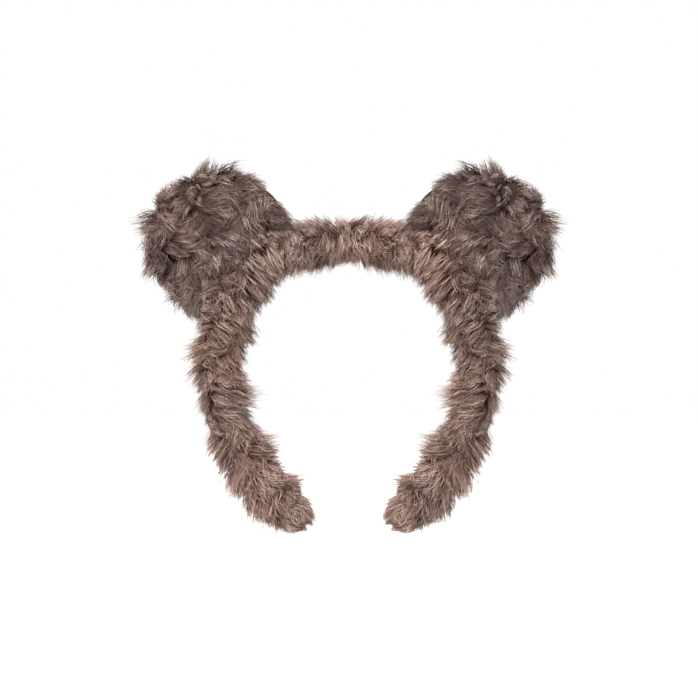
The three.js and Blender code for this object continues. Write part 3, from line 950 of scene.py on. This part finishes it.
def swells(places, spots):
    """How far the pile stands up or lies low near named spots: rows of x, z, radius, amount."""
    total = np.zeros(len(places))
    for x, z, radius, amount in spots:
        apart = (places[:, 0] - x * MM) ** 2 + (places[:, 2] - z * MM) ** 2
        total += amount * np.exp(-apart / (2 * (radius * MM) ** 2))
    return total


# How far hairs stand and how short they are where strokes part, and how well the pile must be
# combed to lie tidily.
STANDING_SHARE = 0.45
SHORTEST_SHARE = 0.6
TIDY_SHARE = 0.8


def combed(piece, way, height, length, stand):
    """Writes on a piece of backing how its pile is combed, how thick and how long it is.

    Where strokes part, or point straight out of the cloth, the hairs stand up and stray."""
    mesh = piece.data
    normals = np.array([v.normal for v in mesh.vertices])
    way = way - normals * np.sum(way * normals, 1, keepdims=True)
    laid = np.linalg.norm(way, axis=1)
    way /= np.maximum(laid, 1e-6)[:, None]
    laid = np.clip(laid, 0, 1)
    stand = stand + STANDING_SHARE * (1 - laid)
    length = length * (SHORTEST_SHARE + (1 - SHORTEST_SHARE) * laid)
    mesh.attributes.new("comb", "FLOAT_VECTOR", "POINT").data.foreach_set("vector", way.ravel())
    stray = 1 - np.clip(laid / TIDY_SHARE, 0, 1)
    sizes = ("height", height), ("length", length), ("stand", stand), ("stray", stray)
    for name, values in sizes:
        shares = np.ascontiguousarray(np.broadcast_to(values, len(normals)), np.float32)
        mesh.attributes.new(name, "FLOAT", "POINT").data.foreach_set("value", shares)


# What the pile no longer needs once it has grown.
GROWING = (
    "comb", "length", "height", "stand", "stray", "hair", "wisp root", "lock root", "lock way",
    "way", "own way", "side way", "reach", "rise", "bend", "fray", "girth", "round",
)


def places_of(piece):
    """Where a piece's points lie, as rows."""
    return np.array([v.co for v in piece.data.vertices])


def pile_on(base, ground, title, finish, seed, **sizes):
    """Grows the pile on a piece of backing and leaves it as a plain mesh of its own."""
    modifier = base.modifiers.new("pile", "NODES")
    modifier.node_group = PILE_TREE
    asked = {"Seed": seed, "Finish": finish, "Whole ground": ground}
    asked.update({key.replace("_", " ").capitalize(): value for key, value in sizes.items()})
    for item in PILE_TREE.interface.items_tree:
        if item.in_out == "INPUT" and item.name in asked:
            modifier[item.identifier] = asked[item.name]
    seen = base.evaluated_get(bpy.context.evaluated_depsgraph_get())
    mesh = bpy.data.meshes.new_from_object(seen)
    mesh.name = title
    base.modifiers.remove(modifier)
    for name in GROWING:
        if name in mesh.attributes:
            mesh.attributes.remove(mesh.attributes[name])
    made = bpy.data.objects.new(title, mesh)
    bpy.context.scene.collection.objects.link(made)
    return made


# The lengths that the band's pile grows in: one over the crown's middle, and these on each side.
MIDDLE_END = 6 * MM
CROWN_END = 30 * MM
SHOULDER_END = 92 * MM
SIDE_END = 126 * MM
BAND_LENGTHS = (
    ("crown", MIDDLE_END, CROWN_END, False),
    ("shoulder", CROWN_END, SHOULDER_END, False),
    ("side", SHOULDER_END, SIDE_END, False),
    ("arm", SIDE_END, HALF_HOOP, True),
)
# Strokes of the brush on the left half: x and z in millimetres, and the way the tips point, in
# degrees, with 0 towards the right and 90 upwards. They go sideways over the crown, across the band
# beside the ear, and down the arms to the tips.
BAND_STROKES = (
    (-6, 22, 170), (-14, 21, 155), (-22, 20, 172), (-30, 17, 190), (-5, 15, 195), (-13, 15, 165),
    (-20, 13, 170), (-27, 12, 200), (-8, 10, 215), (-16, 9, 215), (-24, 8, 230), (-32, 9, -80),
    (-6, 3, -95), (-14, 3, -90), (-22, 3, -70), (-30, 0, -30), (-12, -1, -60), (-22, -2, -25),
    (-41, 12, -50), (-47, 0, -15), (-42, -3, -32), (-47, -9, -50), (-53, -10, -60), (-57, -4, -135),
    (-62, -10, -135), (-67, -16, -133), (-72, -22, -132), (-77, -29, -130), (-59, -16, -75),
    (-50, -16, -80), (-45, -15, -100), (-60, -23, -75), (-52, -26, -150), (-77, -32, -40),
    (-72, -36, -42), (-68, -33, -72), (-63, -33, -70), (-59, -33, -58), (-54, -33, -45),
    (-52, -39, -20), (-76, -40, -45), (-67, -41, -78), (-71, -45, -120), (-77, -49, -150),
    (-80, -45, 150), (-84, -47, 160), (-81, -53, -30), (-76, -56, -22), (-70, -58, -8),
    (-66, -55, -60), (-62, -44, -72), (-65, -50, -75), (-61, -52, -70), (-58, -45, -62),
    (-54, -45, -45), (-55, -51, -75), (-63, -59, -70), (-60, -64, -55), (-57, -58, -60),
    (-55, -63, -25), (-83, -59, 140), (-80, -63, -80), (-77, -61, -35), (-73, -65, -50),
    (-78, -69, -78), (-69, -66, -20), (-64, -64, -40), (-59, -68, -35), (-54, -67, 20),
    (-56, -72, -28), (-52, -73, 15), (-59, -76, -42), (-69, -72, -40), (-65, -75, -35),
    (-73, -73, -70), (-78, -77, -85), (-78, -81, -75), (-73, -80, -62), (-68, -80, -35),
    (-63, -80, -28), (-59, -81, -30), (-55, -84, -38), (-51, -88, -45), (-47, -92, -45),
    (-77, -87, -72), (-72, -87, -75), (-68, -86, -58), (-63, -86, -35), (-58, -88, -40),
    (-70, -93, -110), (-65, -91, -30), (-61, -93, -38), (-57, -94, -42), (-53, -94, -40),
    (-48, -95, -15), (-45, -95, 25), (-42, -97, 15), (-44, -101, -15), (-49, -100, -28),
    (-74, -98, -135), (-76, -101, -130), (-68, -100, -50), (-63, -100, -42), (-57, -101, -40),
    (-52, -104, -38), (-47, -106, -35), (-72, -104, -100), (-68, -107, -65), (-63, -108, -58),
    (-58, -109, -48), (-52, -110, -45), (-46, -111, -48), (-41, -109, -35), (-36, -111, -30),
    (-32, -113, -35), (-27, -117, -10), (-66, -113, -80), (-67, -118, -75), (-64, -121, -30),
    (-60, -120, -15), (-61, -115, -62), (-57, -117, -70), (-52, -116, -85), (-53, -123, -95),
    (-55, -128, -95), (-50, -127, -78), (-49, -134, -62), (-45, -130, -62), (-44, -136, -60),
    (-47, -119, -58), (-41, -124, -55), (-37, -126, -57), (-38, -118, -38), (-33, -120, -33),
    (-30, -125, -33), (-38, -132, -60), (-34, -139, -58), (-33, -130, -75), (-31, -134, -60),
    (-28, -137, -35), (-26, -131, -42), (-22, -132, -38), (-18, -135, -38), (-24, -136, -30),
)
# Where tufts stand out of the pile: x, z and radius in millimetres, and how far they stand.
BAND_TUFTS = (
    (-13.5, 17.5, 2.5, 0.45), (-75, -44, 3, 1.1), (-76, -55, 2.5, 0.45), (-75, -72, 4, 0.55),
    (-69, -92, 4, 0.2), (-59, -111, 4, 0.7), (-50, -123, 3, 0.55), (-61, -67, 2.5, 1.1),
    (-60, -75, 2.5, 0.9), (-50, -97, 3.5, 1.1), (-36.5, -116, 3, 1.0), (-24, -130, 4, 0.3),
    (-21, -132, 3, 0.9), (-56, 0, 4, 0.3), (-62, -8, 4, 0.3), (-67, -16, 4, 0.25),
    (-70, -24, 4, 0.2),
)
# Where the pile is fuller than round about, or thinner: x, z, radius, and the share more or less.
BAND_FULLNESS = (
    (-26, -127, 4, -1.0), (-25, -140, 5, -0.9), (-36, -139, 5, -0.4), (-46, -128, 8, 0.35),
    (-63, -104, 6, 0.3), (-74, -78, 8, -0.65), (-76, -65, 6, -0.28), (-75, -39, 5, -0.16),
    (-59, -80, 5, -0.4), (-54, -88, 4, 0.2), (-40, -112, 4, 0.3), (-57, -29, 6, 0.1),
    (-61, -66, 5, 0.2), (-34, 3, 5, -0.4), (-40, -5, 5, -0.2), (-45, -17, 5, 0.2),
    (-16, 17, 4, 0.1), (-20, 3, 6, 0.15), (-60, -38, 5, 0.35), (-71, -87, 4, 0.25),
    (-31, -126, 4, 0.3), (-48, 4, 4, 0.4), (-57, -3, 4, 0.4), (-64, -12, 4, 0.38),
    (-69, -22, 4, 0.24),
)
# Near its middle the crown's pile goes round the band instead, and parts along the top.
MIDDLE_REACH = 12 * MM
BACK_REACH = 24 * MM
TOP_FROM_SHARE = 0.55
TOP_BLEND_SHARE = 0.3
# How long and how thick the pile is at each share of the way from the crown's middle to the tip.
LENGTH_STATION_SHARES = (0, 0.88, 1)
LENGTH_SHARES = (0.6, 1, 0.7)
HEIGHT_STATION_SHARES = (0, 0.25, 0.5, 0.8, 1)
HEIGHT_SHARES = (1.15, 1.4, 1.3, 1.4, 1.2)
STATION_COUNT = 600
BACK_WAY_SHARE = 0.01


def nearest_station(places):
    """The station that each place lies nearest to."""
    stations = np.linspace(0, HALF_HOOP + BACKING_RADIUS, STATION_COUNT)
    line = on_hoop(stations)[0]
    flat = places[:, None, [0, 2]] - line[None, :, [0, 2]]
    return stations[np.argmin((flat**2).sum(-1), axis=1)]


def comb_band(piece):
    """Combs the front by the brush's strokes, the back along the band, and the middle round it."""
    places = places_of(piece)
    right = places[:, 0] > 0
    places[right, 0] *= -1
    stations = nearest_station(places)
    front = np.clip(0.5 - places[:, 1:2] / BACKING_RADIUS, 0, 1)
    along = hoop_axes(on_hoop(stations)[1])[0]
    way = stroked(places, BAND_STROKES) * front + along * (1 + BACK_WAY_SHARE - front)
    way[right, 0] *= -1
    reach = np.where(places[:, 1] > 0, BACK_REACH, MIDDLE_REACH)
    away = np.clip(stations / reach, 0, 1)[:, None]
    normals = np.array([v.normal for v in piece.data.vertices])
    round_band = np.cross((1, 0, 0), normals)
    over_top = np.clip((normals[:, 2:3] - TOP_FROM_SHARE) / TOP_BLEND_SHARE, 0, 1)
    round_band = round_band * (1 - 2 * over_top)
    way = way * away + round_band * (1 - away)
    height = np.interp(stations / HALF_HOOP, HEIGHT_STATION_SHARES, HEIGHT_SHARES)
    height = height + swells(places, BAND_FULLNESS)
    length = np.interp(stations / HALF_HOOP, LENGTH_STATION_SHARES, LENGTH_SHARES)
    combed(piece, way, height, length, swells(places, BAND_TUFTS))


def band_pile(title, start, end, domed, seed, **sizes):
    """One length of the band's pile, combed and grown."""
    base = band_backing("pile ground", start, end, domed, closed=False)
    comb_band(base)
    pile = pile_on(base, band_ground, title, band_fur, seed, **sizes)
    bpy.data.objects.remove(base)
    return pile


# The crown's pile is finer and more tangled than the rest.
CROWN_SIZES = {
    "lock_spacing": 5 * MM,
    "wisp_spacing": 0.65 * MM,
    "wisp_pull": 0.34,
    "curl": 1.1,
    "swirl": 0.8,
}
MIDDLE_SEED = 30
SIDE_SEED = 40
SEED_STEP = 10
band_ground = band_backing("band ground", -HALF_HOOP / 4, HALF_HOOP, True)
middle_pile = band_pile(
    "fur_crown_middle", -MIDDLE_END, MIDDLE_END, False, MIDDLE_SEED, **CROWN_SIZES
)
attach(middle_pile, "crown")
for number, (part, start, end, domed) in enumerate(BAND_LENGTHS):
    sizes = CROWN_SIZES if part == "crown" else {}
    seed = SIDE_SEED + SEED_STEP * number
    left = band_pile(f"fur_{part}_left", start, end, domed, seed, **sizes)
    for side, pile in both_sides(left).items():
        if part == "crown":
            bend_at_crown(pile, side)
        elif part == "side":
            bend_at_arm(pile, side)
        else:
            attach(pile, f"{side}_{part}")
bpy.data.objects.remove(band_ground)


# The ears' pile: on the front in two halves, and on the back in one.
# It is darker and greyer than the band's. In front it parts at the upper outer corner and lies down
# towards the band. Behind, it lies away from the band and laps over the rim.

# The strokes and spots are written as the band's are.
EAR_STROKES = (
    (-77, 49, 66), (-72, 48, 62), (-63, 47, 8), (-55, 47, -15), (-48, 43, -35), (-42, 36, -40),
    (-36, 26, -50), (-80, 45, 66), (-82, 43, 80), (-86, 42, 150), (-90, 40, 200), (-94, 37, 212),
    (-99, 34, 215), (-106, 29, 222), (-110, 23, 195), (-111, 17, 240), (-108, 10, 262),
    (-107, 3, 192), (-104, -6, -62), (-99, -14, -50), (-91, -21, -42), (-83, -28, -42),
    (-99, 29, 232), (-93, 31, 228), (-89, 36, 225), (-85, 38, 225), (-81, 39, 240), (-78, 36, -40),
    (-84, 31, -115), (-75, 35, -10), (-70, 35, 0), (-64, 33, -25), (-97, 22, -20), (-87, 24, -10),
    (-80, 24, -22), (-95, 16, -35), (-87, 13, -45), (-79, 16, -25), (-104, 19, -95),
    (-102, 11, -60), (-98, 5, -50), (-85, 6, -45), (-77, 7, -50), (-71, 4, -55), (-82, 0, -60),
    (-70, 20, -60), (-68, 12, -75), (-63, 6, -100), (-62, 14, -70), (-91, -7, -30), (-83, -12, -30),
    (-74, -12, -35), (-77, -18, -10), (-72, -6, -60), (-68, -1, -75), (-58, 28, 0), (-55, 20, -30),
    (-48, 16, -35), (-42, 12, -35), (-57, 12, -30), (-53, 7, -10), (-46, 7, 0), (-61, 0, -110),
    (-65, -9, -128), (-72, -17, -130), (-47, 30, -40), (-40, 21, -45), (-53, 36, -15),
    (-60, 40, -5), (-68, 41, -25), (-74, 41, 10), (-84, -18, -42), (-79, -24, -50),
)
EAR_BACK_STROKES = (
    (-71, 12, 135), (-85, -10, 165), (-52, 20, 105), (-72, 42, 105), (-98, 14, 165), (-90, 38, 150),
    (-42, 34, 75), (-95, -15, 190), (-52, 43, 80), (-82, 30, 130),
)
EAR_FULLNESS = (
    (-94, -20, 8, 0.4), (-33, 22, 5, -0.6), (-37, 31, 5, -0.5), (-45, 40, 6, -0.3),
    (-106, 16, 7, 0.6), (-101, 26, 4, 0.3), (-88, 42, 4, -0.1), (-96, 36, 5, -0.3),
    (-88, 20, 5, 0.5), (-77, 6, 5, 0.5), (-83, -12, 5, 0.5), (-50, 16, 5, 0.4), (-66, 34, 5, 0.4),
    (-99, 33, 5, 0.3), (-98, 4, 5, 0.3), (-67, 48, 5, 0.1), (-77, -2, 3, -0.6),
    (-85, 11, 2.5, -0.6), (-78, 16, 2.5, -0.6), (-71, 21, 3, -0.6), (-95, 27, 2.5, -0.6),
    (-85, 28, 2.5, -0.4), (-42, 12, 3, -0.4), (-90, -5, 3, -0.5), (-77, -23, 3, -0.5),
    (-66, 40, 3, -0.4), (-61, 7, 3, -0.4),
)
EAR_TUFTS = (
    (-81, 44, 3, 0.35), (-76, 45.5, 2.5, 0.45), (-67, 45, 3, 0.7), (-102, 24, 3, 0.8),
    (-102.5, 3, 2.5, 0.5), (-87, 42, 3, -0.1),
)
# The ears' tones; the darkest, at the roots, is painted shade deep in the pile.
EAR_SHADED_ROOT = (46, 32, 26)
EAR_MIDDLE = (107, 85, 77)
EAR_TIP = (162, 138, 129)
EAR_CONTRAST = (30.0, 45.0, 54.0)
ear_fur = fur_finish("ear fur", EAR_SHADED_ROOT, EAR_MIDDLE, EAR_TIP, EAR_CONTRAST)


def ear_across(places):
    """How far places lie from the ear's middle towards the band's tip."""
    return (places - ear_centre) @ seat_along


def ear_up(places):
    """How far places lie from the ear's middle away from the band."""
    return (places - ear_centre) @ seat_outward


def part_of_pad(name, wanted):
    """The faces of the left ear's pad whose middles pass a test, as a piece of its own."""
    made = bpy.data.objects.new(name, pad_left.data.copy())
    bpy.context.scene.collection.objects.link(made)
    shape = bmesh.new()
    shape.from_mesh(made.data)
    away = [f for f in shape.faces if not wanted(f.calc_center_median())]
    bmesh.ops.delete(shape, geom=away, context="FACES")
    shape.to_mesh(made.data)
    shape.free()
    return made


# The parts that it grows in: which faces of the pad each one takes, and its number of hairs.
EAR_PARTS = (
    ("front_upper", lambda p: p.y < 0 and ear_up(np.array(p)) > 0, 8100),
    ("front_lower", lambda p: p.y < 0 and ear_up(np.array(p)) <= 0, 8100),
    ("back", lambda p: p.y >= 0, 7700),
)
EAR_SIZES = {
    "hair_length": 9.5 * MM,
    "hair_thickness": 0.34 * MM,
    "wisp_spacing": 0.9 * MM,
    "wisp_pull": 0.8,
    "lock_spacing": 6.5 * MM,
    "lock_pull": 0.3,
    "curl": 1.0,
    "swirl": 0.7,
}
EAR_HEIGHT_SHARE = 1.1
EAR_BACK_SHARE = 0.85
EAR_RIM_BLEND = 3 * MM
EAR_SEED = 104
# Towards the seam on the band the hairs are shorter, and in front they are pressed flat.
SEAM_END = 9 * MM
SHORT_REACH = 12 * MM
SHORT_SHARE = 0.35
FLAT_REACH = 14 * MM
FLAT_SHARE = 0.3
FACING_GAIN = 1.3


def ear_base(name, wanted):
    """A part of the ear's pad, combed, for its pile to grow on."""
    base = part_of_pad(name, wanted)
    places = places_of(base)
    above_seat = ear_up(places) + ear_across(places) ** 2 / (2 * SHOULDER_ARC) + EAR_REACH
    length = np.clip((above_seat - SEAM_END) / SHORT_REACH, SHORT_SHARE, 1)
    flat = np.clip((above_seat - SEAM_END) / FLAT_REACH, FLAT_SHARE, 1)
    facing = np.abs([v.normal.y for v in base.data.vertices])
    facing = np.clip(1 - FACING_GAIN * (1 - facing), 0, 1)
    behind = np.clip(places[:, 1] / EAR_RIM_BLEND, 0, 1)
    height = EAR_HEIGHT_SHARE + swells(places, EAR_FULLNESS)
    height *= (1 - facing * (1 - flat)) * (1 - behind * (1 - EAR_BACK_SHARE))
    behind = behind[:, None]
    way = stroked(places, EAR_STROKES) * (1 - behind)
    way += stroked(places, EAR_BACK_STROKES) * behind
    combed(base, way, height, length, swells(places, EAR_TUFTS))
    return base


for number, (part, wanted, hairs) in enumerate(EAR_PARTS):
    base = ear_base(f"{part} ground", wanted)
    area = sum(f.area for f in base.data.polygons)
    asked = {"hairs_per_square_metre": hairs / area, **EAR_SIZES}
    seed = EAR_SEED + SEED_STEP * number
    left = pile_on(base, pad_left, f"fur_ear_{part}_left", ear_fur, seed, **asked)
    bpy.data.objects.remove(base)
    for side, pile in both_sides(left).items():
        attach(pile, f"{side}_ear")


# The studio: a white table top under the tips, plain soft light, and the camera square on.
# The camera stands where the photograph was taken from, straight in front of the headband, and its
# frame is as wide there as the photograph's.
FRAME_WIDTH = 372.7 * MM
CAMERA_AWAY = 1.5
VIEW_HEIGHT = -46.4 * MM
SENSOR_WIDTH = 36
camera_data = bpy.data.cameras.new("camera")
camera_data.sensor_width = SENSOR_WIDTH
camera_data.lens = SENSOR_WIDTH * CAMERA_AWAY / FRAME_WIDTH
camera = bpy.data.objects.new("camera", camera_data)
camera.location = (0, -CAMERA_AWAY, VIEW_HEIGHT)
camera.rotation_euler = (math.radians(90), 0, 0)
bpy.context.scene.collection.objects.link(camera)
bpy.context.scene.camera = camera
bpy.context.scene.view_settings.view_transform = "Standard"
# Each light's place and what it is aimed at, in metres, the width of its disc, and its watts.
LIGHTS = {
    "key": ((-0.25, -0.85, 0.85), (0, 0, -0.04), 0.25, 15.6),
    "fill": ((0.4, -0.95, -0.45), (0, 0, -0.1), 0.8, 6.3),
    "back": ((-0.3, 1.0, 0.7), (0, 0, -0.04), 0.5, 7),
}
for name, (place, aim, size, power) in LIGHTS.items():
    data = bpy.data.lights.new(name, "AREA")
    data.shape = "DISK"
    data.size = size
    data.energy = power
    light = bpy.data.objects.new(name, data)
    light.location = place
    light.rotation_euler = (Vector(aim) - Vector(place)).to_track_quat("-Z", "Y").to_euler()
    bpy.context.scene.collection.objects.link(light)


def straight_share(tree):
    """1 for rays of the camera, of a gloss and through glass, and 0 for rays that only carry light.

    The sky and the table top are white by it, without more light on the headband."""
    ray = add_node(tree, "ShaderNodeLightPath").outputs
    seen = maths(tree, "MAXIMUM", ray["Is Camera Ray"], ray["Is Glossy Ray"])
    return maths(tree, "MAXIMUM", seen, ray["Is Transmission Ray"])


SKY_LIGHT = 0.22
world = bpy.data.worlds.new("studio")
world.use_nodes = True
sky = world.node_tree
sky.nodes.clear()
strength = maths(sky, "MULTIPLY_ADD", straight_share(sky), 1 - SKY_LIGHT, SKY_LIGHT)
white = add_node(sky, "ShaderNodeBackground", {"Color": (1, 1, 1, 1), "Strength": strength})
sky_out = add_node(sky, "ShaderNodeOutputWorld")
sky.links.new(white.outputs[0], sky_out.inputs["Surface"])
bpy.context.scene.world = world

TABLE_HALF = 3.0
TABLE_DROP = 2.5 * MM
TABLE_GLOW = 0.72
TABLE_ROUGHNESS = 0.9
TABLE_WHITE = (0.9, 0.9, 0.9, 1)
table_height = cad_box[0].z - TABLE_DROP
corners = ((-1, -1), (1, -1), (1, 1), (-1, 1))
corners = [(x * TABLE_HALF, y * TABLE_HALF, table_height) for x, y in corners]
table_top = mesh_object("table_top", corners, [(0, 1, 2, 3)])
finish, tree, shader, _ = new_finish("table white", TABLE_ROUGHNESS)
shader.inputs["Base Color"].default_value = TABLE_WHITE
shader.inputs["Emission Color"].default_value = (1, 1, 1, 1)
glow = maths(tree, "MULTIPLY", straight_share(tree), TABLE_GLOW)
tree.links.new(glow, shader.inputs["Emission Strength"])
table_top.data.materials.append(finish)
